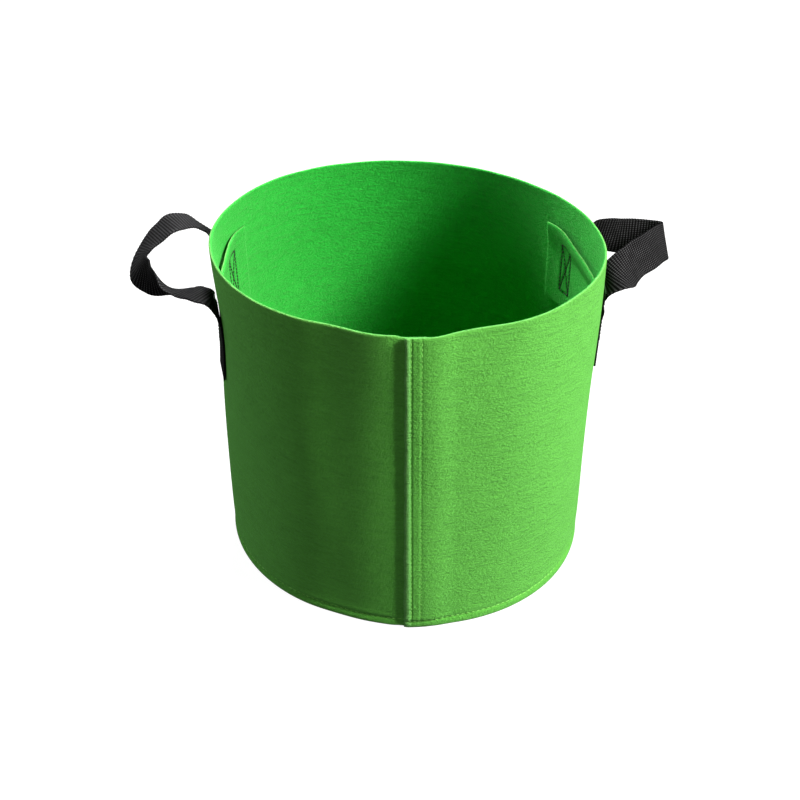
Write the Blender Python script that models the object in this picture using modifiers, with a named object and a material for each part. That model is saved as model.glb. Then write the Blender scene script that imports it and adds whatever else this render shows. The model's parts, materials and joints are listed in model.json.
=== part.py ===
"""Fabric grow bag: a felt tub with one lap seam, a sewn-in base and two webbing handles.

Metres, +Z up. The origin is the middle of the base on the ground; the lap seam faces -Y.
An azimuth is measured from the seam, in degrees, positive towards +X.
"""

import math

import bmesh
import bpy
from mathutils import Vector

MM = 0.001

# Driving dimensions
DIAMETER = 250 * MM
HEIGHT = 220 * MM
FELT = 2.0 * MM
WEBBING_WIDTH = 25 * MM
WEBBING = 1.5 * MM
GAP = 0.3 * MM
THREAD_RADIUS = 0.3 * MM

# Lap seam: the right-hand panel lies over the left-hand one
LAP_WIDTH = 12 * MM
LAP_RAMP_START = 7.0
LAP_RAMP_END = 14.0
SEAM_ROWS = {"edge": 3.2 * MM, "second": 9.2 * MM}
SEAM_THREAD_ENDS = (2 * MM, HEIGHT - 2 * MM)

# Base dish and the row of stitches that holds it
FLANGE_HEIGHT = 12 * MM
DISH_CORNER = 2.5 * MM
BASE_ROW_HEIGHT = 6 * MM

# Handles: azimuth of the middle, and half the angle between the two sewn tails
HANDLE_AZIMUTH = {"left": -94.0, "right": 98.0}
TAIL_OFFSET = 16.0
TAIL_BOTTOM = 144 * MM
TAIL_STRAIGHT_TOP = 184 * MM
TAIL_LIFT = 1.0 * MM
STUB_CLEARANCE = 2.0 * MM
STUB_STRAIGHT = 4 * MM
BOX_WIDTH = 12.5 * MM
BOX_BOTTOM = 148 * MM
BOX_TOP = 176 * MM

# Felt patches inside, behind the tails
PATCH_WIDTH = 110 * MM
PATCH_BOTTOM = 143 * MM
PATCH_TOP = 201 * MM

OUTER_RADIUS = DIAMETER / 2
INNER_RADIUS = OUTER_RADIUS - FELT
LAP_RISE = FELT + GAP
LAP_ANGLE = math.degrees(LAP_WIDTH / OUTER_RADIUS)
DISH_RADIUS = INNER_RADIUS - GAP
PATCH_RADIUS = INNER_RADIUS - GAP
STRAP_RADIUS = OUTER_RADIUS + GAP + WEBBING / 2

# Route of each loop from its front root to its rear root, in millimetres:
# (outward, rearward, height) of the middle of the strap, then the direction across its width
# in the same three directions. Outward starts at the strap on the wall, at the handle's middle.
LOOP_ROUTES = {
    "left": (
        ((3, -35, 192.5), (0.0, 1.0, 0.0)),
        ((7, -35, 192.5), (0.0, 1.0, 0.0)),
        ((14, -35, 193), (0.0, 1.0, -0.15)),
        ((23, -32, 193), (0.05, 0.9, -0.45)),
        ((35, -22, 196), (0.5, 0.4, -0.75)),
        ((47, -6, 198), (0.45, 0.05, -0.9)),
        ((50, 13, 202), (0.35, -0.25, -0.9)),
        ((41, 29, 206), (0.3, 0.2, -0.9)),
        ((27, 37, 206), (0.2, 0.65, -0.8)),
        ((13, 38, 201), (0.0, 1.0, -0.4)),
        ((3, 36, 192.5), (0.0, 1.0, 0.0)),
    ),
    "right": (
        ((3, -35, 196), (0.0, 1.0, 0.0)),
        ((7, -35, 197), (0.0, 1.0, 0.0)),
        ((13, -33, 199), (-0.1, 1.0, 0.15)),
        ((22, -24, 201.5), (-0.4, 0.85, 0.4)),
        ((33, -10, 203), (-0.5, 0.6, 0.6)),
        ((45, 5, 202), (-0.45, 0.25, 0.85)),
        ((54, 21, 197), (-0.15, 0.1, 1.0)),
        ((47, 35, 192), (0.0, 0.0, 1.0)),
        ((30, 39, 191), (0.0, -0.1, 1.0)),
        ((13, 38, 192), (0.0, -0.7, 0.7)),
        ((3, 36, 196), (0.0, -1.0, 0.0)),
    ),
}
STEPS_BETWEEN_STATIONS = 8

FELT_GREEN = (0.06, 0.45, 0.04, 1.0)
BLACK = (0.008, 0.008, 0.009, 1.0)
THREAD_GREEN = (0.10, 0.55, 0.06, 1.0)


def clear_scene():
    for existing in list(bpy.data.objects):
        bpy.data.objects.remove(existing, do_unlink=True)


def make_collection(name):
    collection = bpy.data.collections.new(name)
    bpy.context.scene.collection.children.link(collection)
    return collection


def make_material(name, colour, roughness):
    material = bpy.data.materials.new(name)
    material.use_nodes = True
    shader = material.node_tree.nodes["Principled BSDF"]
    shader.inputs["Base Color"].default_value = colour
    shader.inputs["Roughness"].default_value = roughness
    shader.inputs["Metallic"].default_value = 0.0
    return material


def add_object(name, data, material, location=(0, 0, 0)):
    piece = bpy.data.objects.new(name, data)
    piece.location = location
    data.materials.append(make_material(name + "_material", *material))
    PARTS.objects.link(piece)
    return piece


def outward(azimuth):
    angle = math.radians(azimuth)
    return Vector((math.sin(angle), -math.cos(angle), 0))


def on_circle(radius, azimuth, height=0.0):
    return outward(azimuth) * radius + Vector((0, 0, height))


def smooth_step(value):
    value = min(max(value, 0.0), 1.0)
    return value * value * (3 - 2 * value)


def extruded_outline(name, points, bottom, top, material):
    """A flat closed outline, extruded from one height to another."""
    curve = bpy.data.curves.new(name, "CURVE")
    curve.dimensions = "2D"
    curve.fill_mode = "BOTH"
    curve.extrude = (top - bottom) / 2
    spline = curve.splines.new("POLY")
    spline.points.add(len(points) - 1)
    for target, point in zip(spline.points, points):
        target.co = (point.x, point.y, 0, 1)
    spline.use_cyclic_u = True
    return add_object(name, curve, material, (0, 0, (top + bottom) / 2))


def thread(name, points, closed):
    """A round thread along a line of points."""
    curve = bpy.data.curves.new(name, "CURVE")
    curve.dimensions = "3D"
    curve.bevel_depth = THREAD_RADIUS
    curve.bevel_resolution = 1
    curve.use_fill_caps = not closed
    spline = curve.splines.new("POLY")
    spline.points.add(len(points) - 1)
    for target, point in zip(spline.points, points):
        target.co = (*point, 1)
    spline.use_cyclic_u = closed
    return add_object(name, curve, (THREAD_GREEN, 0.7))


def lap_lift(azimuth):
    """How far the outer panel stands off the circle beside the lap."""
    return LAP_RISE * smooth_step((LAP_RAMP_END - azimuth) / (LAP_RAMP_END - LAP_RAMP_START))


def make_side_wall():
    """One strip of felt rolled into a tube, with its ends lapped at the front."""
    fine = 1.0
    coarse = 4.0
    azimuths = [LAP_ANGLE]
    while azimuths[-1] > -360.0:
        in_lap = azimuths[-1] < LAP_RAMP_END - 358.0
        azimuths.append(max(azimuths[-1] - (fine if in_lap else coarse), -360.0))
    outer = []
    inner = []
    for azimuth in azimuths:
        lift = lap_lift(azimuth + 360.0)
        outer.append(on_circle(OUTER_RADIUS + lift, azimuth))
        inner.append(on_circle(INNER_RADIUS + lift, azimuth))
    return extruded_outline("side_wall", outer + inner[::-1], 0.0, HEIGHT, (FELT_GREEN, 0.95))


def make_base():
    """A shallow felt dish whose upturned flange is sewn inside the wall."""
    profile = [
        (0.0, FELT),
        (DISH_RADIUS - FELT, FELT),
        (DISH_RADIUS - FELT, FLANGE_HEIGHT),
        (DISH_RADIUS, FLANGE_HEIGHT),
    ]
    corner_steps = 4
    for step in range(corner_steps + 1):
        angle = math.pi / 2 * step / corner_steps
        x = DISH_RADIUS - DISH_CORNER * (1 - math.cos(angle))
        z = DISH_CORNER * (1 - math.sin(angle))
        profile.append((x, z))
    profile.append((0.0, 0.0))
    mesh = bpy.data.meshes.new("base_disc")
    vertices = [(x, 0.0, z) for x, z in profile]
    edges = [(i, i + 1) for i in range(len(profile) - 1)]
    mesh.from_pydata(vertices, edges, [])
    base = add_object("base_disc", mesh, (FELT_GREEN, 0.95))
    screw = base.modifiers.new("turn", "SCREW")
    screw.steps = 96
    screw.render_steps = 96
    screw.use_merge_vertices = True
    screw.merge_threshold = 0.00001
    screw.use_smooth_shade = True
    return base


def make_patch(side):
    """A felt patch that backs both tails of one handle."""
    half_angle = math.degrees(PATCH_WIDTH / 2 / PATCH_RADIUS)
    steps = 16
    azimuths = [HANDLE_AZIMUTH[side] + half_angle * (2 * i / steps - 1) for i in range(steps + 1)]
    outer = [on_circle(PATCH_RADIUS, azimuth) for azimuth in azimuths]
    inner = [on_circle(PATCH_RADIUS - FELT, azimuth) for azimuth in reversed(azimuths)]
    name = side + "_inner_patch"
    return extruded_outline(name, outer + inner, PATCH_BOTTOM, PATCH_TOP, (FELT_GREEN, 0.95))


def handle_frame(side):
    """Outward and rearward directions at a handle, and the strap's middle on the wall."""
    out = outward(HANDLE_AZIMUTH[side])
    rear = Vector((0, 0, 1)).cross(out) * (1 if side == "right" else -1)
    return out, rear, out * STRAP_RADIUS


def loop_stations(side):
    """The loop's route as world points and width directions."""
    out, rear, origin = handle_frame(side)
    stations = []
    for (distance, along, height), (w_out, w_rear, w_up) in LOOP_ROUTES[side]:
        point = origin + (out * distance + rear * along) * MM + Vector((0, 0, height * MM))
        across = out * w_out + rear * w_rear + Vector((0, 0, w_up))
        stations.append((point, across.normalized()))
    return stations


def smooth_between(before, start, end, after, t):
    """Catmull-Rom interpolation from start to end."""
    return 0.5 * (
        2 * start
        + (end - before) * t
        + (2 * before - 5 * start + 4 * end - after) * t * t
        + (3 * start - before - 3 * end + after) * t ** 3
    )


def smooth_route(stations):
    """Points and width directions read from one smooth curve through the stations."""
    padded = [stations[0], *stations, stations[-1]]
    route = []
    for i in range(1, len(padded) - 2):
        for step in range(STEPS_BETWEEN_STATIONS):
            t = step / STEPS_BETWEEN_STATIONS
            points, widths = zip(*padded[i - 1:i + 3])
            route.append((smooth_between(*points, t), smooth_between(*widths, t)))
    route.append(stations[-1])
    return route


def make_ribbon(name, stations, rounded):
    """Flat webbing along a route; rounded ends let it turn about its roots."""
    route = smooth_route(stations)
    sections = []
    for i, (point, across) in enumerate(route):
        ahead = route[min(i + 1, len(route) - 1)][0] - route[max(i - 1, 0)][0]
        tangent = ahead.normalized()
        across = (across - tangent * across.dot(tangent)).normalized()
        sections.append((point, tangent, across, WEBBING / 2))
    if rounded:
        sections = rounded_end(sections[0], -1)[::-1] + sections + rounded_end(sections[-1], 1)
    mesh = bmesh.new()
    rings = []
    for point, tangent, across, half in sections:
        side = across * (WEBBING_WIDTH / 2)
        up = tangent.cross(across) * half
        corners = (side + up, -side + up, -side - up, side - up)
        rings.append([mesh.verts.new(point + corner) for corner in corners])
    for ring, following in zip(rings, rings[1:]):
        for i in range(4):
            j = (i + 1) % 4
            mesh.faces.new((ring[i], ring[j], following[j], following[i]))
    mesh.faces.new(rings[0][::-1])
    mesh.faces.new(rings[-1])
    data = bpy.data.meshes.new(name)
    mesh.to_mesh(data)
    mesh.free()
    return add_object(name, data, (BLACK, 0.55))


def rounded_end(section, direction):
    """Extra sections that round off a cut end over half the strap's thickness."""
    point, tangent, across, half = section
    ends = []
    for angle in (30, 60, 80):
        angle = math.radians(angle)
        ahead = tangent * (direction * half * math.sin(angle))
        ends.append((point + ahead, tangent, across, half * math.cos(angle)))
    return ends


def tail_azimuth(side, end):
    """Azimuth of one tail: the front tail is the one nearer the seam."""
    shift = -TAIL_OFFSET if end == "front" else TAIL_OFFSET
    return HANDLE_AZIMUTH[side] + (shift if side == "right" else -shift)


def make_tail(side, end):
    """The sewn end of a strap, with the short stretch that bends out to the loop."""
    azimuth = tail_azimuth(side, end)
    stations = loop_stations(side)
    if end == "rear":
        stations = stations[::-1]
    (root, root_width), (ahead, _) = stations[:2]
    away = (ahead - root).normalized()
    width = Vector((0, 0, 1)).cross(outward(azimuth))
    if width.dot(root_width) < 0:
        width = -width
    steps = 4
    rise = (TAIL_STRAIGHT_TOP - TAIL_BOTTOM) / steps
    tail = []
    for step in range(steps + 1):
        radius = STRAP_RADIUS + (TAIL_LIFT if step == steps else 0.0)
        tail.append((on_circle(radius, azimuth, TAIL_BOTTOM + rise * step), width))
    tail += [(root - away * length, root_width) for length in (STUB_STRAIGHT, STUB_CLEARANCE)]
    return make_ribbon("%s_handle_tail_%s" % (side, end), tail, rounded=False)


def make_box_stitch(side, end, face, radius):
    """A rectangle of stitches on the face of a tail or of the patch behind it."""
    middle = tail_azimuth(side, end)
    half_angle = math.degrees(BOX_WIDTH / 2 / STRAP_RADIUS)
    steps = 4
    across = [middle + half_angle * (2 * i / steps - 1) for i in range(steps + 1)]
    points = [on_circle(radius, azimuth, BOX_BOTTOM) for azimuth in across]
    points += [on_circle(radius, azimuth, BOX_TOP) for azimuth in reversed(across)]
    return thread("%s_%s_box_thread_%s" % (side, end, face), points, closed=True)


def make_seam_threads():
    """Two rows down the lap seam, each with a needle and a bobbin thread."""
    bottom, top = SEAM_THREAD_ENDS
    clearance = GAP + THREAD_RADIUS
    for row, distance in SEAM_ROWS.items():
        azimuth = math.degrees(distance / OUTER_RADIUS)
        outer = OUTER_RADIUS + LAP_RISE + clearance
        inner = INNER_RADIUS - clearance
        ends = [on_circle(outer, azimuth, bottom), on_circle(outer, azimuth, top)]
        thread("seam_thread_%s_outer" % row, ends, closed=False)
        inner_bottom = FLANGE_HEIGHT + clearance
        ends = [on_circle(inner, azimuth, inner_bottom), on_circle(inner, azimuth, top)]
        thread("seam_thread_%s_inner" % row, ends, closed=False)


def make_base_threads():
    """The row round the base: a needle thread outside and a bobbin thread inside."""
    clearance = GAP + THREAD_RADIUS
    seam_clearance = 2 * clearance + THREAD_RADIUS
    count = 120
    step_down = 3.0
    outer = []
    for i in range(count):
        azimuth = 360.0 * i / count
        over_lap = lap_lift(azimuth) + seam_clearance * smooth_step((LAP_RAMP_END - azimuth) / 3.0)
        down_left = smooth_step((azimuth - (360.0 - step_down)) / step_down)
        lift = max(over_lap, (LAP_RISE + seam_clearance) * down_left)
        outer.append(on_circle(OUTER_RADIUS + clearance + lift, azimuth, BASE_ROW_HEIGHT))
    thread("base_thread_outer", outer, closed=True)
    inner_radius = DISH_RADIUS - FELT - clearance
    inner = [on_circle(inner_radius, 360.0 * i / count, BASE_ROW_HEIGHT) for i in range(count)]
    thread("base_thread_inner", inner, closed=True)


def make_handle(side):
    make_ribbon(side + "_handle_loop", loop_stations(side), rounded=True)
    make_patch(side)
    strap_face = STRAP_RADIUS + WEBBING / 2 + 2 * GAP + THREAD_RADIUS
    patch_face = PATCH_RADIUS - FELT - GAP - THREAD_RADIUS
    for end in ("front", "rear"):
        make_tail(side, end)
        make_box_stitch(side, end, "outer", strap_face)
        make_box_stitch(side, end, "inner", patch_face)


clear_scene()
PARTS = make_collection("fabric_grow_bag")
make_side_wall()
make_base()
make_seam_threads()
make_base_threads()
for handle_side in HANDLE_AZIMUTH:
    make_handle(handle_side)
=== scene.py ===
"""Fabric grow bag: the visual model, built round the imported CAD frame.

Metres, +Z up. The lap seam faces -Y. An azimuth is measured from the seam, in degrees, positive
towards +X. Every felt piece is a slab of cloth laid on the wall's own shape, so the wall, the base,
the patches, the straps and the stitches all follow one surface.
"""

import json
import math

import bpy
import numpy as np
from mathutils import Matrix, Vector


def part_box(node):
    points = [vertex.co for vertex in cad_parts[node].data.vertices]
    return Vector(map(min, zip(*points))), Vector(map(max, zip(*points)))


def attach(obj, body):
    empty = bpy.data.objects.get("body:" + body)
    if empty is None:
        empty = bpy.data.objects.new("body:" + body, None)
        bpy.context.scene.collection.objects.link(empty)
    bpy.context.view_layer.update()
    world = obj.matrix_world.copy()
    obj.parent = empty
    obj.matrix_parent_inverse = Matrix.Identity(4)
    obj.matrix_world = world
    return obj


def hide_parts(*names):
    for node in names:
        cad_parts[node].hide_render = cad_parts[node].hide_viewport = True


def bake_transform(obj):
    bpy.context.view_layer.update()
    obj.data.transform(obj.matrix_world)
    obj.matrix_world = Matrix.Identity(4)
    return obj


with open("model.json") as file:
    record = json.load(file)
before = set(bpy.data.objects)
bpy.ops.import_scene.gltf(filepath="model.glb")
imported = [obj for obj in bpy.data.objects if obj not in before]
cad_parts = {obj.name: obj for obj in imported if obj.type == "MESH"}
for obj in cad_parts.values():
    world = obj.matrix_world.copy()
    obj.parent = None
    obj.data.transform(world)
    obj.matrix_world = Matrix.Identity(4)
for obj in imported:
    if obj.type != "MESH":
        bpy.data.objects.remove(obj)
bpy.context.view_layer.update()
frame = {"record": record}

MM = 0.001

# Sizes read from the frame
WALL_LOW, WALL_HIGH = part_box("side_wall")
HEIGHT = WALL_HIGH[2]
RADIUS = WALL_HIGH[0]
MOUNTS = {mount["name"]: mount for mount in frame["record"]["mounts"]}
FELT = MOUNTS["planting_floor"]["pos_m"][2]
FLANGE_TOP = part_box("base_disc")[1][2]
PATCH_LOW, PATCH_HIGH = (corner[2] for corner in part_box("left_inner_patch"))
TAIL_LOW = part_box("left_handle_tail_front")[0][2]
BASE_ROW = (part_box("base_thread_outer")[0][2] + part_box("base_thread_outer")[1][2]) / 2
BOX_LOW, BOX_HIGH = (corner[2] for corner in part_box("left_front_box_thread_outer"))
HINGES = {joint["name"].split("_")[0]: joint for joint in frame["record"]["behaviour"]["joints"]}

# Felt cut edges
RIM_ROUNDING = 0.95 * MM
PATCH_ROUNDING = 0.7 * MM
FIT_GAP = 0.35 * MM

# Lap seam
LAP_WIDTH = 12 * MM
LAP_RISE = FELT + 0.3 * MM
SEAM_ROWS = {"edge": 3.2 * MM, "second": 9.2 * MM}

# Webbing: offsets are degrees from a handle's middle to the middle of each sewn end
WEBBING_WIDTH = 25 * MM
WEBBING = 1.5 * MM
RIB_PITCH = 1.9 * MM
YARN_PITCH = 1.3 * MM
RIB_RELIEF = 0.28 * MM
TAIL_OFFSETS = {
    "left": {"front": 17.5, "rear": 14.5},
    "right": {"front": 14.0, "rear": 14.5},
}
TAIL_SPARE = 7 * MM
TAIL_STEPS = (150 * MM, 158 * MM, 166 * MM, 172 * MM, 177 * MM)
SEWN_GAP = 0.15 * MM

# Thread: radius of each thread and length of its stitches
THREAD = 0.28 * MM
BOX_THREAD_OUTER = 0.38 * MM
BOX_THREAD_INNER = 0.42 * MM
SEAM_STITCH = 3.6 * MM
BOX_STITCH = 2.7 * MM

# Stitched boxes, with offsets like those of the tails
BOX_HALF = 6 * MM
BOX_LINE_LOW = BOX_LOW + 8 * MM
BOX_LINE_HIGH = BOX_HIGH + 14 * MM
BOX_OFFSETS = {"front": 15.5, "rear": 12.2}

# Patches: the shift is in degrees towards the seam, the opening of the free top edge in millimetres
PATCH_WIDTH = 110 * MM
PATCH_SHIFT = 2.5
PATCH_OPENING = {"left": 0.7, "right": 2.2}

# Route of each loop from its front root to its rear root, in millimetres: (outward, rearward,
# height) of the strap's middle, then the direction across its width in the same directions.
LOOP_ROUTES = {
    "left": (
        ((-8.5, -35.5, 184), (0.25, 0.97, 0.0)),
        ((-4.5, -34.5, 189.5), (0.25, 0.97, 0.0)),
        ((4, -32, 191.5), (0.2, 0.95, -0.12)),
        ((13, -29, 191), (0.2, 0.9, -0.25)),
        ((22, -25, 190.5), (0.25, 0.85, -0.42)),
        ((31, -19, 191.5), (0.38, 0.62, -0.68)),
        ((40, -12, 191.5), (0.5, 0.25, -0.83)),
        ((47.5, -5, 193.5), (0.6, 0.2, -0.75)),
        ((48.5, 3, 197.5), (0.6, 0.65, -0.45)),
        ((44.5, 9, 203.5), (0.45, 0.85, -0.15)),
        ((38.5, 14, 209), (0.3, 0.92, 0.1)),
        ((32, 19, 213.5), (0.2, 0.95, 0.12)),
        ((26, 24, 214.5), (0.2, 0.95, 0.02)),
        ((19, 29, 212.5), (0.25, 0.95, -0.15)),
        ((13, 33, 206.5), (0.2, 0.9, -0.35)),
        ((6, 34, 199), (0.1, 0.95, -0.3)),
        ((-1, 32.5, 191), (-0.1, 0.97, -0.1)),
        ((-5, 31.5, 183), (-0.25, 0.97, 0.0)),
    ),
    "right": (
        ((-3.4, -30.5, 183), (0.24, 0.97, 0.0)),
        ((-1.2, -31, 188.5), (0.24, 0.97, 0.0)),
        ((3.8, -30.5, 193), (0.0, 0.96, 0.2)),
        ((10.5, -26.5, 196), (-0.25, 0.75, 0.55)),
        ((18, -19.5, 197.5), (-0.36, 0.42, 0.8)),
        ((26, -12, 198.5), (-0.33, 0.33, 0.86)),
        ((36, -4, 198.5), (-0.3, 0.4, 0.87)),
        ((46, 6, 198), (-0.2, 0.45, 0.87)),
        ((54, 16, 195), (-0.12, 0.5, 0.86)),
        ((56, 25, 191.5), (-0.08, 0.45, 0.89)),
        ((49, 32, 190), (-0.02, 0.4, 0.9)),
        ((39, 36, 190), (-0.05, 0.3, 0.95)),
        ((29, 38, 190.5), (-0.1, 0.1, 0.99)),
        ((19, 38, 192.5), (-0.1, -0.1, 0.98)),
        ((10, 37.5, 193.5), (0.05, -0.35, 0.93)),
        ((2, 36, 192), (0.3, -0.85, 0.4)),
        ((-4, 33, 188), (0.25, -0.97, 0.1)),
        ((-6, 31, 181), (0.25, -0.97, 0.0)),
    ),
}


# ---------------------------------------------------------------- shape of the wall

def smooth_step(value):
    value = np.clip(value, 0.0, 1.0)
    return value * value * (3 - 2 * value)


def bump_at(value, middle, width):
    return np.exp(-((value - middle) / width) ** 2)


def wrapped(azimuth):
    return (np.asarray(azimuth, float) + 180.0) % 360.0 - 180.0


def rim_outline(azimuth):
    """Radius of the rim in millimetres: a slanted oval, flattened on each side of the seam."""
    turn = np.radians(azimuth)
    oval = 4.05 * np.sin(2 * turn) - 0.54 * np.sin(3 * turn) + 0.27 * np.cos(2 * turn)
    return RADIUS / MM + oval - 3.1 * bump_at(np.abs(azimuth), 20.0, 9.5)


def foot_outline(azimuth):
    """Radius of the foot in millimetres: nearly round, as the base holds it."""
    turn = np.radians(azimuth)
    oval = 1.46 * np.sin(2 * turn) + 0.68 * np.cos(2 * turn)
    corner = 1.01 * np.sin(3 * turn) - 1.48 * np.cos(3 * turn)
    beside_seam = 0.9 * bump_at(azimuth, 0.0, 6.0) - 1.0 * bump_at(azimuth, -22.0, 9.0)
    return RADIUS / MM + oval + corner + beside_seam


def soft_waves(azimuth, height):
    """Slow ripples in the standing felt, in millimetres."""
    turn = np.radians(azimuth)
    up = height / MM
    return (
        0.28 * np.sin(5 * turn + up / 31.0 + 0.7)
        + 0.16 * np.sin(9 * turn - up / 43.0 + 2.1)
        + 0.05 * np.sin(17 * turn + up / 19.0 + 4.0)
        + 0.02 * np.sin(26 * turn - up / 12.0 + 1.3)
    )


def wall_radius(azimuth, height):
    """Radius of the wall's outer face, away from the lap, in metres."""
    azimuth = wrapped(azimuth)
    up = np.asarray(height, float) / MM
    share = np.clip(up / (HEIGHT / MM), 0.0, 1.0)
    radius = foot_outline(azimuth) * (1 - share) + rim_outline(azimuth) * share
    radius = radius - 2.6 * bump_at(azimuth, -80.0, 15.0) * bump_at(up, 166.0, 36.0)
    radius = radius + 1.0 * bump_at(azimuth, 79.0, 16.0) * bump_at(up, 176.0, 42.0)
    radius = radius - 0.5 * bump_at(azimuth, -1.8, 1.5)
    radius = radius + soft_waves(azimuth, height) * smooth_step(up / 25.0)
    return radius * MM


def lap_profile(distance, height):
    """How far the outer panel stands off the wall beside its raw edge, without the stitch grooves.

    The row round the foot draws the two layers together.
    """
    along = distance / MM
    ramp = smooth_step((32.0 - along) / 17.0)
    puff = 0.3 * bump_at(along, 1.5, 1.5) + 0.1 * bump_at(along, 7.9, 1.0) + 0.1 * bump_at(along, 12.5, 2.0)
    drawn_in = 0.4 + 0.6 * smooth_step(height / (9 * MM))
    return (LAP_RISE * ramp + puff * MM) * drawn_in


def stitch_grooves(distance, height):
    """Depth of the two grooves that the seam's stitches pull into the felt."""
    pull = 0.8 + 0.2 * np.cos(2 * math.pi * height / SEAM_STITCH)
    first = 0.6 * bump_at(distance, SEAM_ROWS["edge"] + 0.2 * MM, 0.65 * MM)
    second = 0.36 * bump_at(distance, SEAM_ROWS["second"], 0.55 * MM)
    return (first + second) * pull * smooth_step(height / (8 * MM)) * MM


def base_groove(azimuth, height):
    """Depth of the groove along the base row, with the soft bulges under and over it."""
    up = height / MM
    pull = 0.85 + 0.15 * np.cos(np.radians(azimuth) * 60)
    row = BASE_ROW / MM
    groove = 1.0 * bump_at(up, row, 1.0) * pull
    bulge = 0.6 * bump_at(up, row - 3.6, 2.2) + 0.2 * bump_at(up, row + 3.0, 2.0)
    return (groove - bulge) * MM


def tail_press(azimuth, height):
    """How far the box stitches press the wall in behind the tails."""
    press = 0.0
    for side in HINGES:
        for end in ("front", "rear"):
            off = np.abs(wrapped(np.asarray(azimuth) - tail_azimuth(side, end)))
            press = press + bump_at(off, 0.0, 5.0) * bump_at(height / MM, 165.0, 18.0)
    return 0.5 * MM * press


def outer_face(azimuth, height):
    """Radius of the outermost felt face. Azimuths from 0 to 360 lie on the outer panel."""
    azimuth = np.asarray(azimuth, float)
    height = np.asarray(height, float)
    distance = np.radians(azimuth) * RADIUS
    lap = np.where(azimuth < 180.0, lap_profile(distance, height) - stitch_grooves(distance, height), 0.0)
    face = wall_radius(azimuth, height) + lap - base_groove(azimuth, height)
    return face - tail_press(azimuth, height)


def inner_face(azimuth, height):
    """Radius of the felt's inner face, behind outer_face at the same azimuth."""
    azimuth = np.asarray(azimuth, float)
    height = np.asarray(height, float)
    distance = np.radians(azimuth) * RADIUS
    rise = lap_profile(distance, height)
    over_lap = np.maximum(rise * 0.9 - FELT, 0.06 * MM)
    clear = smooth_step((distance - LAP_WIDTH) / (4 * MM))
    lap = np.where(azimuth < 180.0, over_lap * (1 - clear) + (rise - FELT) * clear, -FELT)
    return wall_radius(azimuth, height) + lap - tail_press(azimuth, height)


def on_wall(azimuth, radius, height):
    """Points at a radius, as an array of rows."""
    turn = np.radians(azimuth)
    x, y, z = np.broadcast_arrays(radius * np.sin(turn), -radius * np.cos(turn), height)
    return np.stack([x, y, z], axis=-1)


# ---------------------------------------------------------------- mesh helpers

def add_piece(name, points, faces, attributes=None, smooth=True):
    mesh = bpy.data.meshes.new(name)
    mesh.from_pydata([tuple(p) for p in points], [], faces)
    for key, values in (attributes or {}).items():
        values = np.asarray(values, np.float32)
        kind = "FLOAT_VECTOR" if values.ndim == 2 else "FLOAT"
        attribute = mesh.attributes.new(key, kind, "POINT")
        attribute.data.foreach_set("vector" if values.ndim == 2 else "value", values.ravel())
    mesh.polygons.foreach_set("use_smooth", [smooth] * len(mesh.polygons))
    mesh.update()
    piece = bpy.data.objects.new(name, mesh)
    bpy.context.scene.collection.objects.link(piece)
    return piece


def uneven(start, end, fine_zones, fine, coarse):
    """Positions from start to end, close together inside the fine zones."""
    positions = [start]
    while positions[-1] < end:
        here = positions[-1]
        near = any(low - coarse <= here <= high for low, high in fine_zones)
        positions.append(here + (fine if near else coarse))
    positions[-1] = end
    return np.array(positions)


def edge_inset(distance, rounding):
    """How far a felt face draws in near a cut edge."""
    share = np.clip(1 - distance / rounding, 0.0, 1.0)
    return rounding * (1 - np.sqrt(1 - share * share))


def slab(name, columns, rows, place, rounding):
    """A closed slab of felt with rounded cut edges.

    columns and rows are distances along and up the cloth. place(along, up, depth) gives the points,
    with depth 0 on the front face and FELT on the back one.
    """
    steps = rounding * (1 - np.cos(np.radians([15.0, 40.0, 65.0])))
    low = rows[0] + np.concatenate([[0.0], steps])
    high = rows[-1] - np.concatenate([[0.0], steps])[::-1]
    inner_rows = rows[(rows > rows[0] + rounding) & (rows < rows[-1] - rounding)]
    up = np.concatenate([low, inner_rows, high])
    row_gap = np.minimum(up - rows[0], rows[-1] - up)
    column_gap = np.minimum(columns - columns[0], columns[-1] - columns)
    inset = np.maximum(edge_inset(row_gap, rounding)[None, :], edge_inset(column_gap, rounding)[:, None])
    along, height = np.meshgrid(columns, up, indexing="ij")
    front = place(along, height, inset)
    back = place(along, height, FELT - inset)
    ring = np.concatenate([front, back[:, ::-1]], axis=1)
    # cut_edge marks the rounded cut edges for the felt's lighter edge colour: frayed fibres plus a painted
    # highlight.
    cut = np.concatenate([inset, inset[:, ::-1]], axis=1) / rounding
    depth = np.concatenate([inset, FELT - inset[:, ::-1]], axis=1)
    count_across, around = ring.shape[:2]
    cloth = np.stack([
        np.concatenate([along, along[:, ::-1]], axis=1),
        np.concatenate([height, height[:, ::-1]], axis=1),
        depth,
    ], axis=-1)
    faces = []
    for i in range(count_across - 1):
        for j in range(around):
            k = (j + 1) % around
            faces.append((i * around + j, (i + 1) * around + j, (i + 1) * around + k, i * around + k))
    last = (count_across - 1) * around
    for j in range(len(up) - 1):
        mirror = around - 1 - j
        faces.append((j, j + 1, mirror - 1, mirror))
        faces.append((last + j, last + mirror, last + mirror - 1, last + j + 1))
    attributes = {"cloth": cloth.reshape(-1, 3), "cut_edge": cut.ravel()}
    return add_piece(name, ring.reshape(-1, 3), faces, attributes)


# ---------------------------------------------------------------- felt pieces

def raw_edge_wander(height):
    """How far the raw edge of the outer panel leans and wavers, in metres."""
    up = height / MM
    lean = -1.6 * (1 - up / (HEIGHT / MM))
    return (lean + 0.18 * np.sin(up / 5.3) + 0.12 * np.sin(up / 2.1 + 1.0)) * MM


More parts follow.
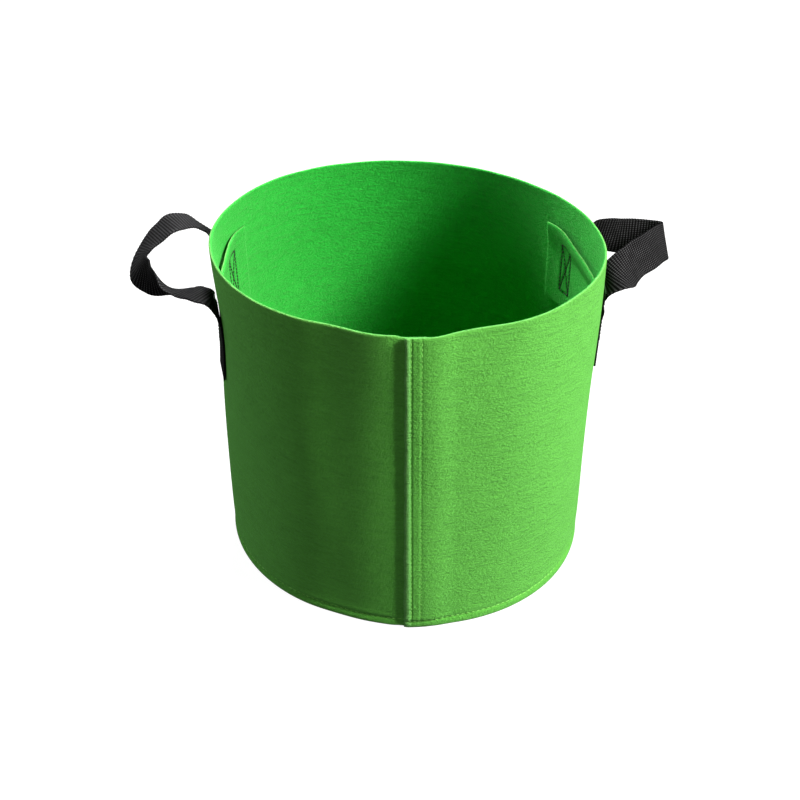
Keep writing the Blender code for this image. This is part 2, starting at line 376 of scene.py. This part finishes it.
def fray_and_highlight_raw_edge(wall):
    """Marks the strip between the raw edge and its stitches as teased-out felt with a painted highlight."""
    count = len(wall.data.vertices)
    cloth = np.empty(count * 3, np.float32)
    cut = np.empty(count, np.float32)
    wall.data.attributes["cloth"].data.foreach_get("vector", cloth)
    wall.data.attributes["cut_edge"].data.foreach_get("value", cut)
    cloth = cloth.reshape(-1, 3)
    # The strip takes the lighter cut-edge colour: frayed fibres plus a painted highlight.
    strip = smooth_step((SEAM_ROWS["edge"] + 0.3 * MM - cloth[:, 0]) / (1.2 * MM))
    strip = strip * (cloth[:, 2] < FELT * 0.6)
    wall.data.attributes["cut_edge"].data.foreach_set("value", np.maximum(cut, 0.7 * strip))


def make_side_wall():
    """One strip of felt rolled into a tube, its ends lapped and sewn at the front."""
    length = 2 * math.pi * RADIUS + LAP_WIDTH
    columns = uneven(0.0, length, [(0.0, 16 * MM), (length - 14 * MM, length)], 0.5 * MM, 2.1 * MM)
    rows = uneven(0.0, HEIGHT, [(0.0, 12 * MM), (HEIGHT - 3 * MM, HEIGHT)], 0.6 * MM, 2.2 * MM)

    def place(along, up, depth):
        fade = smooth_step(1 - along / (2.6 * MM))
        shifted = along + raw_edge_wander(up) * fade
        azimuth = np.degrees(shifted / RADIUS)
        rim = smooth_step((up - 0.9 * HEIGHT) / (0.1 * HEIGHT))
        turn = np.radians(azimuth)
        under_lap = smooth_step((along - length + LAP_WIDTH + 6 * MM) / (4 * MM))
        ripple = 0.12 * np.sin(7 * turn) + 0.06 * np.sin(21 * turn + 1.7) - 0.9 * under_lap
        outer = outer_face(azimuth, up)
        inner = inner_face(azimuth, up)
        radius = outer + (inner - outer) * depth / FELT
        return on_wall(azimuth, radius, up + rim * ripple * MM)

    wall = slab("felt_wall", columns, rows, place, RIM_ROUNDING)
    fray_and_highlight_raw_edge(wall)
    return wall


def make_base_panel():
    """The round felt base, dished up into a flange that is sewn inside the wall."""
    corner = 2.5 * MM
    reach = RADIUS - FELT
    shares = np.linspace(0.0, 1.0, 30)[1:-1]
    profile = [(share * (reach - corner), 0.0, share) for share in shares]
    for angle in np.radians([0, 22, 45, 68, 90]):
        profile.append((reach - corner + corner * math.sin(angle), corner * (1 - math.cos(angle)), 1.0))
    for height in np.linspace(corner, FLANGE_TOP, 9)[1:]:
        profile.append((reach, height, 1.0))
    for height in np.linspace(FLANGE_TOP, FELT + 0.8 * MM, 8):
        profile.append((reach - FELT, height, 1.0))
    profile.append((reach - FELT - 0.5 * MM, FELT + 0.2 * MM, 1.0))
    for share in shares[::-1]:
        profile.append((share * (reach - FELT - 1.0 * MM), FELT, share))
    count = 180
    azimuth = np.arange(count) * 360.0 / count
    rings = []
    for radius, height, share in profile:
        fit = (wall_radius(azimuth, height) - FIT_GAP) / RADIUS
        turn = np.radians(azimuth)
        pucker = 0.35 * np.sin(11 * turn) + 0.3 * np.sin(23 * turn + 1.0)
        rise = np.maximum(0.25 + pucker * share ** 3 + 0.5 * share * np.sin(3 * turn + 0.6), 0.0)
        lifted = height + (rise * MM if height <= FELT * 1.5 else 0.0)
        rings.append(on_wall(azimuth, radius * fit, lifted))
    points = [p for ring in rings for p in ring]
    points += [(0.0, 0.0, 0.1 * MM), (0.0, 0.0, FELT + 0.1 * MM)]
    bottom, top = len(points) - 2, len(points) - 1
    faces = []
    for i in range(len(rings) - 1):
        for j in range(count):
            k = (j + 1) % count
            faces.append((i * count + j, i * count + k, (i + 1) * count + k, (i + 1) * count + j))
    last = (len(rings) - 1) * count
    for j in range(count):
        k = (j + 1) % count
        faces.append((bottom, k, j))
        faces.append((top, last + j, last + k))
    # The flange's top edge takes the same lighter cut-edge colour: frayed fibres plus a painted highlight.
    at_edge = [bump_at(p[2], FLANGE_TOP, 0.5 * MM) for p in points]
    return add_piece("felt_base", points, faces, {"cloth": np.array(points), "cut_edge": at_edge})


def handle_azimuth(side):
    place = HINGES[side]["pos_m"]
    return math.degrees(math.atan2(place[0], -place[1]))


def beside_handle(side, end, offset):
    """Azimuth beside the handle's middle: the front end is the one nearer the seam."""
    shift = -offset if end == "front" else offset
    return handle_azimuth(side) + (shift if side == "right" else -shift)


def tail_azimuth(side, end):
    return beside_handle(side, end, TAIL_OFFSETS[side][end])


def box_azimuth(side, end):
    """Each box is sewn towards the strap's inner edge."""
    return beside_handle(side, end, BOX_OFFSETS[end])


def patch_gap(side, azimuth, height):
    """Gap between a patch and the wall: it eases from one line of stitches towards the next."""
    off = np.abs(wrapped(azimuth - handle_azimuth(side)))
    free_top = smooth_step((height - (BOX_HIGH + 6 * MM)) / (PATCH_HIGH - BOX_HIGH - 6 * MM))
    inner_row = 12.0
    outer_row = 17.6
    reach = inner_row + (outer_row - inner_row) * free_top
    straight = 1 - np.cos(np.radians(reach)) / np.cos(np.radians(np.minimum(off, reach)))
    flap = 0.35 * smooth_step((off - outer_row) / 6.0)
    opening = PATCH_OPENING[side] * free_top
    return 0.36 * straight * (RADIUS - FELT) + (0.12 + flap + opening) * MM


def box_corners():
    """Left, right, low and high lines of a stitched box, about its middle, in metres."""
    return -BOX_HALF, BOX_HALF, BOX_LINE_LOW, BOX_LINE_HIGH


def line_gap(x, z, start, end):
    """Distance from points to a straight line between two ends."""
    run_x, run_z = end[0] - start[0], end[1] - start[1]
    share = ((x - start[0]) * run_x + (z - start[1]) * run_z) / (run_x ** 2 + run_z ** 2)
    share = np.clip(share, 0.0, 1.0)
    return np.hypot(x - start[0] - share * run_x, z - start[1] - share * run_z)


def box_press(x, z):
    """Depth that a stitched box pulls into the patch, with x measured from the box's middle."""
    left, right, low, high = box_corners()
    ring = [(left, low), (left, high), (right, high), (right, low), (left, low)]
    lines = [*zip(ring, ring[1:]), (ring[0], ring[2]), (ring[1], ring[3])]
    nearest = np.min([line_gap(x, z, start, end) for start, end in lines], axis=0)
    return 0.6 * MM * bump_at(nearest, 0.0, 0.9 * MM)


def make_patch(side):
    """A felt patch inside the wall that takes both tails' stitches."""
    middle = beside_handle(side, "front", PATCH_SHIFT)
    half = PATCH_WIDTH / 2
    rearward = 1 if side == "right" else -1
    boxes = [wrapped(box_azimuth(side, end) - middle) for end in BOX_OFFSETS]
    boxes = [math.radians(off) * (RADIUS - FELT) for off in boxes]
    fine_zones = sorted((box - 8 * MM, box + 8 * MM) for box in boxes)
    columns = uneven(-half, half, fine_zones, 0.6 * MM, 1.5 * MM)
    rows = uneven(PATCH_LOW, PATCH_HIGH, [(PATCH_LOW, PATCH_HIGH)], 0.7 * MM, 1.5 * MM)

    def place(along, up, depth):
        off = np.degrees(along / (RADIUS - FELT))
        waver = 0.25 * MM * np.sin(along / (6.1 * MM) + 0.5)
        drop = 5.0 * MM * smooth_step((18.0 - off * rearward) / 16.0)
        face = inner_face(off + middle + (360.0 if middle < 0 else 0.0), up)
        press = sum(box_press(along - box, up) for box in boxes) * depth / FELT
        radius = face - patch_gap(side, off + middle, up) - depth + press
        top = smooth_step((up - BOX_HIGH) / (20 * MM))
        return on_wall(off + middle, radius, up + (waver - drop) * top)

    return slab(side + "_felt_patch", columns, rows, place, PATCH_ROUNDING)


# ---------------------------------------------------------------- stitches

# Sections of one stitch: share of its length, lift off the cloth in millimetres, relative thickness
STITCH_SECTIONS = (
    (0.04, -0.45, 0.55), (0.16, -0.05, 0.9), (0.34, 0.16, 1.0), (0.5, 0.2, 1.02),
    (0.66, 0.16, 1.0), (0.84, -0.05, 0.9), (0.96, -0.45, 0.55),
)


def stitch_row(name, points, normals, pitch, closed=False, thread=THREAD):
    """Separate stitches along a line, each arched over the cloth with its ends sunk in it."""
    points = np.asarray(points, float)
    normals = np.asarray(normals, float)
    if closed:
        points = np.concatenate([points, points[:1]])
        normals = np.concatenate([normals, normals[:1]])
    steps = np.linalg.norm(np.diff(points, axis=0), axis=1)
    travelled = np.concatenate([[0.0], np.cumsum(steps)])
    count = max(int(round(travelled[-1] / pitch)), 1)
    length = travelled[-1] / count
    verts = []
    faces = []
    sides = 8
    for i in range(count):
        sections = []
        for share, lift, size in STITCH_SECTIONS:
            at = (i + share) * length
            centre = np.array([np.interp(at, travelled, points[:, k]) for k in range(3)])
            normal = np.array([np.interp(at, travelled, normals[:, k]) for k in range(3)])
            sections.append((centre + normal * lift * MM, normal / np.linalg.norm(normal), size))
        run = sections[-1][0] - sections[0][0]
        run = run / np.linalg.norm(run)
        first = len(verts)
        for centre, normal, size in sections:
            across = np.cross(run, normal)
            across = across / np.linalg.norm(across)
            for k in range(sides):
                turn = 2 * math.pi * k / sides
                offset = (across * math.cos(turn) * 1.1 + normal * math.sin(turn) * 0.85) * thread * size
                verts.append(centre + offset)
        for s in range(len(sections) - 1):
            for k in range(sides):
                n = (k + 1) % sides
                a = first + s * sides
                faces.append((a + k, a + n, a + sides + n, a + sides + k))
        end = first + (len(sections) - 1) * sides
        faces.append(tuple(first + k for k in reversed(range(sides))))
        faces.append(tuple(end + k for k in range(sides)))
    return add_piece(name, verts, faces, {"cloth": np.array(verts)})


def radial(azimuth, sign=1.0):
    return on_wall(azimuth, sign, 0.0)


def make_seam_stitches():
    """Two rows down the lap, seen on both faces."""
    made = {}
    for row, distance in SEAM_ROWS.items():
        azimuth = math.degrees(distance / RADIUS)
        up = np.linspace(9 * MM, HEIGHT - 2 * MM, 60)
        sway = azimuth + 0.05 * np.sin(up / (17 * MM))
        outer = on_wall(sway, outer_face(sway, up) - 0.25 * MM, up)
        made["seam_thread_%s_outer" % row] = stitch_row(
            "seam_stitches_%s_outer" % row, outer, radial(sway), SEAM_STITCH)
        up = np.linspace(FLANGE_TOP + 1 * MM, HEIGHT - 2 * MM, 60)
        sway = azimuth + 0.05 * np.sin(up / (17 * MM))
        inner = on_wall(sway, inner_face(sway + 360.0, up), up)
        made["seam_thread_%s_inner" % row] = stitch_row(
            "seam_stitches_%s_inner" % row, inner, radial(sway, -1.0), SEAM_STITCH)
    return made


def make_base_stitches():
    """The row round the foot, outside the wall and inside the flange."""
    azimuth = np.arange(0, 360, 1.0)
    up = BASE_ROW + 0.3 * MM * np.sin(np.radians(azimuth) * 7)
    outer = on_wall(azimuth, outer_face(azimuth, up), up)
    made = {"base_thread_outer": stitch_row(
        "base_stitches_outer", outer, radial(azimuth), SEAM_STITCH, closed=True)}
    fit = (wall_radius(azimuth, up) - FIT_GAP) / RADIUS
    inner = on_wall(azimuth, (RADIUS - 2 * FELT) * fit, up)
    made["base_thread_inner"] = stitch_row(
        "base_stitches_inner", inner, radial(azimuth, -1.0), SEAM_STITCH, closed=True)
    return made


def box_path(middle):
    """The box and its diagonals as (azimuth, height) points, sewn without lifting the needle."""
    left, right, low, high = box_corners()
    corners = [(left, low), (right, high), (left, high), (right, low), (left, low), (left, high),
               (right, high), (right, low)]
    path = []
    for (x0, z0), (x1, z1) in zip(corners, corners[1:]):
        for t in np.linspace(0, 1, 12, endpoint=False):
            path.append((x0 + (x1 - x0) * t, z0 + (z1 - z0) * t))
    path.append(corners[-1])
    path = np.array(path)
    path[:, 0] = middle + np.degrees(path[:, 0] / (RADIUS - FELT))
    return path


def make_box_stitches(side, end):
    path = box_path(box_azimuth(side, end))
    azimuth, up = path[:, 0], path[:, 1]
    turned = azimuth % 360.0
    outer = on_wall(azimuth, outer_face(turned, up) + WEBBING + SEWN_GAP, up)
    name = "%s_%s_box" % (side, end)
    made = {name + "_thread_outer": stitch_row(
        name + "_stitches_outer", outer, radial(azimuth), BOX_STITCH, thread=BOX_THREAD_OUTER)}
    face = inner_face(turned, up) - patch_gap(side, azimuth, up) - FELT + 0.3 * MM
    inner = on_wall(azimuth, face, up)
    made[name + "_thread_inner"] = stitch_row(
        name + "_stitches_inner", inner, radial(azimuth, -1.0), BOX_STITCH, thread=BOX_THREAD_INNER)
    return made


# ---------------------------------------------------------------- webbing straps

def handle_directions(side):
    azimuth = handle_azimuth(side)
    out = Vector((math.sin(math.radians(azimuth)), -math.cos(math.radians(azimuth)), 0.0))
    rear = Vector((0, 0, 1)).cross(out) * (1 if side == "right" else -1)
    return out, rear


def strap_stations(side):
    """Points and width directions of a whole strap: front tail, loop, rear tail."""
    out, rear = handle_directions(side)
    origin = out * (RADIUS + WEBBING / 2 + 0.3 * MM)
    loop = []
    for (distance, along, height), (w_out, w_rear, w_up) in LOOP_ROUTES[side]:
        point = origin + (out * distance + rear * along + Vector((0, 0, height))) * MM
        across = (out * w_out + rear * w_rear + Vector((0, 0, w_up))).normalized()
        loop.append((point, across))
    tails = {}
    for end, neighbour in (("front", loop[0]), ("rear", loop[-1])):
        azimuth = tail_azimuth(side, end)
        turned = azimuth % 360.0
        width = Vector((0, 0, 1)).cross(Vector(radial(azimuth)))
        if width.dot(neighbour[1]) < 0:
            width = -width
        tail = []
        for height in (TAIL_LOW - TAIL_SPARE, *TAIL_STEPS):
            radius = float(outer_face(turned, height)) + WEBBING / 2 + SEWN_GAP
            tail.append((Vector(on_wall(azimuth, radius, height)), width))
        tails[end] = tail
    return tails["front"] + loop + tails["rear"][::-1]


def spline(before, start, end, after, t):
    """Catmull-Rom interpolation from start to end."""
    return 0.5 * (
        2 * start
        + (end - before) * t
        + (2 * before - 5 * start + 4 * end - after) * t * t
        + (3 * start - before - 3 * end + after) * t ** 3
    )


def smooth_route(stations, spacing):
    """Points and width directions at an even spacing along one smooth curve."""
    padded = [stations[0], *stations, stations[-1]]
    points = []
    widths = []
    for i in range(1, len(padded) - 2):
        places, across = zip(*padded[i - 1:i + 3])
        for step in range(24):
            points.append(spline(*places, step / 24))
            widths.append(spline(*across, step / 24))
    points.append(stations[-1][0])
    widths.append(stations[-1][1])
    points = np.array(points)
    widths = np.array(widths)
    travelled = np.concatenate([[0.0], np.cumsum(np.linalg.norm(np.diff(points, axis=0), axis=1))])
    count = int(travelled[-1] / spacing)
    at = np.linspace(0, travelled[-1], count + 1)
    points = np.stack([np.interp(at, travelled, points[:, k]) for k in range(3)], axis=1)
    widths = np.stack([np.interp(at, travelled, widths[:, k]) for k in range(3)], axis=1)
    return at, points, widths


def square_to(widths, points):
    """Turns each width direction square to the route. Gives the unit tangents as well."""
    tangents = np.gradient(points, axis=0)
    tangents = tangents / np.linalg.norm(tangents, axis=1)[:, None]
    widths = widths - tangents * np.sum(widths * tangents, axis=1)[:, None]
    return widths / np.linalg.norm(widths, axis=1)[:, None], tangents


def clear_of_wall(points, widths, spacing):
    """Moves a route outward wherever the strap would enter the wall."""
    short = np.zeros(len(points))
    for share in (-1.0, -0.5, 0.0, 0.5, 1.0):
        edge = points + widths * share * WEBBING_WIDTH / 2
        azimuth = np.degrees(np.arctan2(edge[:, 0], -edge[:, 1])) % 360.0
        gap = np.hypot(edge[:, 0], edge[:, 1]) - outer_face(azimuth, edge[:, 2])
        entered = WEBBING / 2 + 0.12 * MM - gap
        short = np.maximum(short, np.where(edge[:, 2] < HEIGHT, entered, 0.0))
    reach = int(5 * MM / spacing)
    peaks = np.array([short[max(i - reach, 0):i + reach + 1].max() for i in range(len(short))])
    window = np.hanning(2 * reach + 1)
    push = np.convolve(peaks, window / window.sum(), mode="same")
    outward = points * (1.0, 1.0, 0.0)
    outward = outward / np.linalg.norm(outward, axis=1)[:, None]
    return points + outward * push[:, None]


def make_strap(side):
    """One length of ribbed webbing: both sewn tails and the loop between them."""
    spacing = RIB_PITCH / 5
    at, points, widths = smooth_route(strap_stations(side), spacing)
    widths, _ = square_to(widths, points)
    points = clear_of_wall(points, widths, spacing)
    widths, tangents = square_to(widths, points)
    normals = np.cross(tangents, widths)
    half_width = WEBBING_WIDTH / 2
    half = WEBBING / 2
    across = np.linspace(-1, 1, 31) * (half_width - half * 0.7)
    section = [(x, half, 1.0) for x in across]
    section += [(half_width - half * 0.3, half * 0.65, 0.3), (half_width, 0.0, 0.0),
                (half_width - half * 0.3, -half * 0.65, -0.3)]
    section += [(x, -half, -1.0) for x in across[::-1]]
    section += [(-half_width + half * 0.3, -half * 0.65, -0.3), (-half_width, 0.0, 0.0),
                (-half_width + half * 0.3, half * 0.65, 0.3)]
    rib = np.abs(np.sin(math.pi * at / RIB_PITCH))
    scallop = 0.10 * MM * np.sin(2 * math.pi * at / RIB_PITCH)
    ring = []
    cloth = []
    for x, y, face in section:
        relief = rib * RIB_RELIEF * abs(face)
        offset = y - math.copysign(1, face) * (RIB_RELIEF - relief) * (1 if face else 0)
        edge = x + math.copysign(1, x) * scallop * (1 if abs(x) > half_width * 0.97 else 0)
        ring.append(points + widths * np.broadcast_to(edge, at.shape)[:, None]
                    + normals * np.broadcast_to(offset, at.shape)[:, None])
        place = [np.full(at.shape, x + half_width), at, np.full(at.shape, face * half)]
        cloth.append(np.stack(place, axis=1))
    ring = np.stack(ring, axis=1)
    cloth = np.stack(cloth, axis=1)
    count, around = ring.shape[:2]
    faces = []
    for i in range(count - 1):
        for j in range(around):
            k = (j + 1) % around
            faces.append((i * around + j, i * around + k, (i + 1) * around + k, (i + 1) * around + j))
    faces.append(tuple(range(around))[::-1])
    faces.append(tuple((count - 1) * around + j for j in range(around)))
    return add_piece(side + "_webbing_strap", ring.reshape(-1, 3), faces, {"cloth": cloth.reshape(-1, 3)})


# ---------------------------------------------------------------- materials

class Nodes:
    """Short names for making and joining shader nodes."""

    def __init__(self, name):
        self.material = bpy.data.materials.new(name)
        self.material.use_nodes = True
        self.tree = self.material.node_tree
        self.shader = self.tree.nodes["Principled BSDF"]

    def add(self, kind, **settings):
        node = self.tree.nodes.new(kind)
        for key, value in settings.items():
            setattr(node, key, value)
        return node

    def join(self, source, target):
        self.tree.links.new(source, target)

    def math(self, operation, a, b=None):
        node = self.add("ShaderNodeMath", operation=operation)
        for socket, value in zip(node.inputs, (a, b)):
            if isinstance(value, (int, float)):
                socket.default_value = value
            elif value is not None:
                self.join(value, socket)
        return node.outputs[0]

    def cloth(self, scale=(1.0, 1.0, 1.0)):
        """Coordinates on the cloth in metres, times a scale."""
        attribute = self.add("ShaderNodeAttribute", attribute_name="cloth")
        mapping = self.add("ShaderNodeMapping")
        mapping.inputs["Scale"].default_value = scale
        self.join(attribute.outputs["Vector"], mapping.inputs["Vector"])
        return mapping.outputs["Vector"]

    def noise(self, vector, scale, detail=3.0, roughness=0.55, distortion=0.0):
        node = self.add("ShaderNodeTexNoise")
        self.join(vector, node.inputs["Vector"])
        node.inputs["Scale"].default_value = scale
        node.inputs["Detail"].default_value = detail
        node.inputs["Roughness"].default_value = roughness
        node.inputs["Distortion"].default_value = distortion
        return node.outputs["Fac"]

    def blend(self, factor, low, high):
        """A colour between two colours, or two colour sockets."""
        node = self.add("ShaderNodeMix", data_type="RGBA")
        for socket, value in zip((node.inputs[0], node.inputs[6], node.inputs[7]), (factor, low, high)):
            if isinstance(value, (tuple, float)):
                socket.default_value = value
            else:
                self.join(value, socket)
        return node.outputs[2]

    def span(self, value, low, high, to_low=0.0, to_high=1.0):
        node = self.add("ShaderNodeMapRange")
        self.join(value, node.inputs["Value"])
        for key, number in (("From Min", low), ("From Max", high), ("To Min", to_low), ("To Max", to_high)):
            node.inputs[key].default_value = number
        return node.outputs["Result"]

    def bump(self, height, distance, strength, below=None):
        node = self.add("ShaderNodeBump")
        node.inputs["Distance"].default_value = distance
        node.inputs["Strength"].default_value = strength
        self.join(height, node.inputs["Height"])
        if below is not None:
            self.join(below, node.inputs["Normal"])
        return node.outputs["Normal"]


def felt_material():
    """Needled felt: short fibres lying mostly along the cloth, in a slightly uneven green.

    The face that the needles leave outside is a warmer green than the one inside.
    """
    n = Nodes("green_felt")
    fibres = n.noise(n.cloth((0.4, 1.0, 1.0)), 1700.0, detail=3.0, roughness=0.7, distortion=0.8)
    speckle = n.noise(n.cloth((0.7, 1.0, 1.0)), 720.0, detail=3.0, roughness=0.65, distortion=0.4)
    streaks = n.noise(n.cloth((0.16, 1.0, 1.0)), 420.0, detail=2.0, roughness=0.5)
    clouds = n.noise(n.cloth((0.6, 1.0, 1.0)), 150.0, detail=3.0, roughness=0.6)
    drift = n.noise(n.cloth((0.35, 1.0, 1.0)), 28.0, detail=2.0)
    mixed = n.math("MULTIPLY", fibres, 0.28)
    for layer, share in ((speckle, 0.30), (streaks, 0.20), (clouds, 0.14), (drift, 0.08)):
        mixed = n.math("ADD", mixed, n.math("MULTIPLY", layer, share))
    tone = n.span(mixed, 0.38, 0.62)
    outside = n.blend(tone, (0.062, 0.255, 0.028, 1.0), (0.098, 0.385, 0.048, 1.0))
    inside = n.blend(tone, (0.007, 0.225, 0.017, 1.0), (0.012, 0.335, 0.028, 1.0))
    depth = n.add("ShaderNodeSeparateXYZ")
    n.join(n.cloth(), depth.inputs[0])
    inward = n.span(depth.outputs["Z"], 0.25 * FELT, 0.75 * FELT)
    colour = n.blend(inward, outside, inside)
    # Lighter cut edges and frayed strip: partly frayed fibres, partly a painted highlight on the outer half
    # of the edge.
    edge = n.add("ShaderNodeAttribute", attribute_name="cut_edge")
    frayed_and_highlit = n.math("MULTIPLY", edge.outputs["Fac"], n.span(speckle, 0.35, 0.65, 0.35, 1.0))
    cut = n.blend(inward, (0.19, 0.46, 0.14, 1.0), (0.012, 0.29, 0.026, 1.0))
    colour = n.blend(frayed_and_highlit, colour, cut)
    n.join(colour, n.shader.inputs["Base Color"])
    n.join(n.span(fibres, 0.3, 0.7, 0.84, 0.98), n.shader.inputs["Roughness"])
    soft = n.bump(n.math("ADD", clouds, streaks), 0.0016, 0.5)
    fuzz = n.math("ADD", fibres, n.math("MULTIPLY", speckle, 1.6))
    n.join(n.bump(fuzz, 0.0011, 0.8, below=soft), n.shader.inputs["Normal"])
    n.shader.inputs["Specular IOR Level"].default_value = 0.12
    n.shader.inputs["Sheen Weight"].default_value = 0.25
    n.shader.inputs["Sheen Roughness"].default_value = 0.5
    n.shader.inputs["Sheen Tint"].default_value = (0.35, 1.0, 0.30, 1.0)
    return n.material


def webbing_material():
    """Black woven polypropylene in a plain weave with a dull shine; painted highlights on the yarn crowns.
    """
    n = Nodes("black_webbing")
    separate = n.add("ShaderNodeSeparateXYZ")
    n.join(n.cloth(), separate.inputs[0])
    across = n.math("DIVIDE", separate.outputs["X"], YARN_PITCH)
    along = n.math("DIVIDE", separate.outputs["Y"], RIB_PITCH)
    yarn = n.math("SINE", n.math("MULTIPLY", n.math("FRACT", across), math.pi))
    rib = n.math("SINE", n.math("MULTIPLY", n.math("FRACT", along), math.pi))
    weave = n.math("MULTIPLY", rib, n.math("ADD", n.math("MULTIPLY", yarn, 0.7), 0.3))
    fuzz = n.noise(n.cloth(), 2600.0, detail=3.0, roughness=0.7)
    wear = n.noise(n.cloth(), 160.0, detail=2.0)
    # Painted highlight on the yarn crowns and painted shade in the gaps: the crowns take a lighter grey,
    # the gaps near black.
    tone = n.math("MULTIPLY", n.math("POWER", weave, 3.5), n.span(wear, 0.3, 0.7, 0.6, 1.0))
    colour = n.blend(tone, (0.0003, 0.0003, 0.0003, 1.0), (0.07, 0.07, 0.074, 1.0))
    n.join(colour, n.shader.inputs["Base Color"])
    n.join(n.span(fuzz, 0.3, 0.7, 0.5, 0.65), n.shader.inputs["Roughness"])
    height = n.math("ADD", weave, n.math("MULTIPLY", fuzz, 0.25))
    n.join(n.bump(height, 0.0004, 0.9), n.shader.inputs["Normal"])
    n.shader.inputs["Specular IOR Level"].default_value = 0.03
    return n.material


def thread_material(name, dark, light):
    """Twisted sewing thread."""
    n = Nodes(name)
    twist = n.add("ShaderNodeTexWave", wave_type="BANDS", bands_direction="DIAGONAL")
    n.join(n.cloth(), twist.inputs["Vector"])
    twist.inputs["Scale"].default_value = 620.0
    twist.inputs["Distortion"].default_value = 1.0
    n.join(n.blend(twist.outputs["Fac"], dark, light), n.shader.inputs["Base Color"])
    n.join(n.span(twist.outputs["Fac"], 0.0, 1.0, 0.5, 0.7), n.shader.inputs["Roughness"])
    n.join(n.bump(twist.outputs["Fac"], 0.0002, 0.6), n.shader.inputs["Normal"])
    n.shader.inputs["Specular IOR Level"].default_value = 0.35
    return n.material


def floor_material():
    n = Nodes("pale_floor")
    grain = n.add("ShaderNodeTexNoise")
    grain.inputs["Scale"].default_value = 3.0
    n.join(n.blend(grain.outputs["Fac"], (0.14, 0.14, 0.14, 1.0), (0.15, 0.15, 0.15, 1.0)),
           n.shader.inputs["Base Color"])
    n.shader.inputs["Roughness"].default_value = 0.9
    n.shader.inputs["Emission Color"].default_value = (1.0, 1.0, 1.0, 1.0)
    n.shader.inputs["Emission Strength"].default_value = 0.95
    return n.material


# ---------------------------------------------------------------- assembly

def finish_piece(piece, material, body=None):
    piece.data.materials.append(material)
    if body:
        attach(piece, body)
    return piece


def build():
    felt = felt_material()
    webbing = webbing_material()
    thread = thread_material("green_thread", (0.10, 0.38, 0.04, 1.0), (0.26, 0.66, 0.13, 1.0))
    dark_thread = thread_material("dark_thread", (0.004, 0.02, 0.004, 1.0), (0.012, 0.05, 0.012, 1.0))

    base = finish_piece(make_base_panel(), felt, "bag")
    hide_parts("base_disc")
    wall = finish_piece(make_side_wall(), felt, "bag")
    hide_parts("side_wall")
    for side in HINGES:
        patch = finish_piece(make_patch(side), felt, "bag")
        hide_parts(side + "_inner_patch")

    green_rows = {**make_seam_stitches(), **make_base_stitches()}
    for node, row in green_rows.items():
        finish_piece(row, thread, "bag")
        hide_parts(node)
    for side in HINGES:
        for end in ("front", "rear"):
            for node, row in make_box_stitches(side, end).items():
                finish_piece(row, dark_thread, "bag")
                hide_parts(node)
        strap = finish_piece(make_strap(side), webbing)
        nodes = ["%s_handle_%s" % (side, part) for part in ("loop", "tail_front", "tail_rear")]
        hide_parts(*nodes)
        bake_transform(strap)


def area_light(name, azimuth, elevation, distance, size, power, colour=(1.0, 1.0, 1.0)):
    """A soft square lamp that faces the bag a little above its middle."""
    target = Vector((0.0, 0.0, HEIGHT * 0.6))
    turn, rise = math.radians(azimuth), math.radians(elevation)
    direction = Vector((math.sin(turn) * math.cos(rise), -math.cos(turn) * math.cos(rise), math.sin(rise)))
    data = bpy.data.lights.new(name, "AREA")
    data.energy = power
    data.size = size
    data.color = colour
    lamp = bpy.data.objects.new(name, data)
    lamp.location = target + direction * distance
    lamp.rotation_euler = direction.to_track_quat("Z", "Y").to_euler()
    lamp.visible_camera = False
    bpy.context.scene.collection.objects.link(lamp)


def stage():
    half = 6.0
    corners = [(-half, -half, 0.0), (half, -half, 0.0), (half, half, 0.0), (-half, half, 0.0)]
    floor = add_piece("floor", corners, [(0, 1, 2, 3)], smooth=False)
    floor.location.z = -0.3 * MM
    floor.data.materials.append(floor_material())
    floor.visible_diffuse = False
    floor.visible_glossy = False
    area_light("key", 69.0, 38.0, 2.2, 0.7, 146.0, (1.0, 0.985, 0.95))
    area_light("rear_fill", -118.0, 22.0, 2.4, 1.0, 24.0)
    area_light("low_front_fill", -20.0, 7.0, 2.4, 1.2, 12.0)
    area_light("top_fill", -163.0, 58.0, 0.58, 0.1, 7.0)
    world = bpy.data.worlds.new("studio")
    world.use_nodes = True
    world.node_tree.nodes["Background"].inputs["Color"].default_value = (1.0, 1.0, 1.0, 1.0)
    world.node_tree.nodes["Background"].inputs["Strength"].default_value = 0.08
    bpy.context.scene.world = world
    bpy.context.scene.view_settings.view_transform = "Standard"


def add_camera():
    data = bpy.data.cameras.new("camera")
    data.sensor_width = 36.0
    data.lens = 49.815
    camera = bpy.data.objects.new("camera", data)
    camera.location = (0.0, -0.640, 0.528)
    tilt, roll, yaw = math.radians(90 - 34.16), math.radians(-0.43), math.radians(0.32)
    turn = Matrix.Rotation(yaw, 3, "Z") @ Matrix.Rotation(tilt, 3, "X") @ Matrix.Rotation(roll, 3, "Z")
    camera.rotation_euler = turn.to_euler()
    bpy.context.scene.collection.objects.link(camera)
    bpy.context.scene.camera = camera


add_camera()
stage()
build()
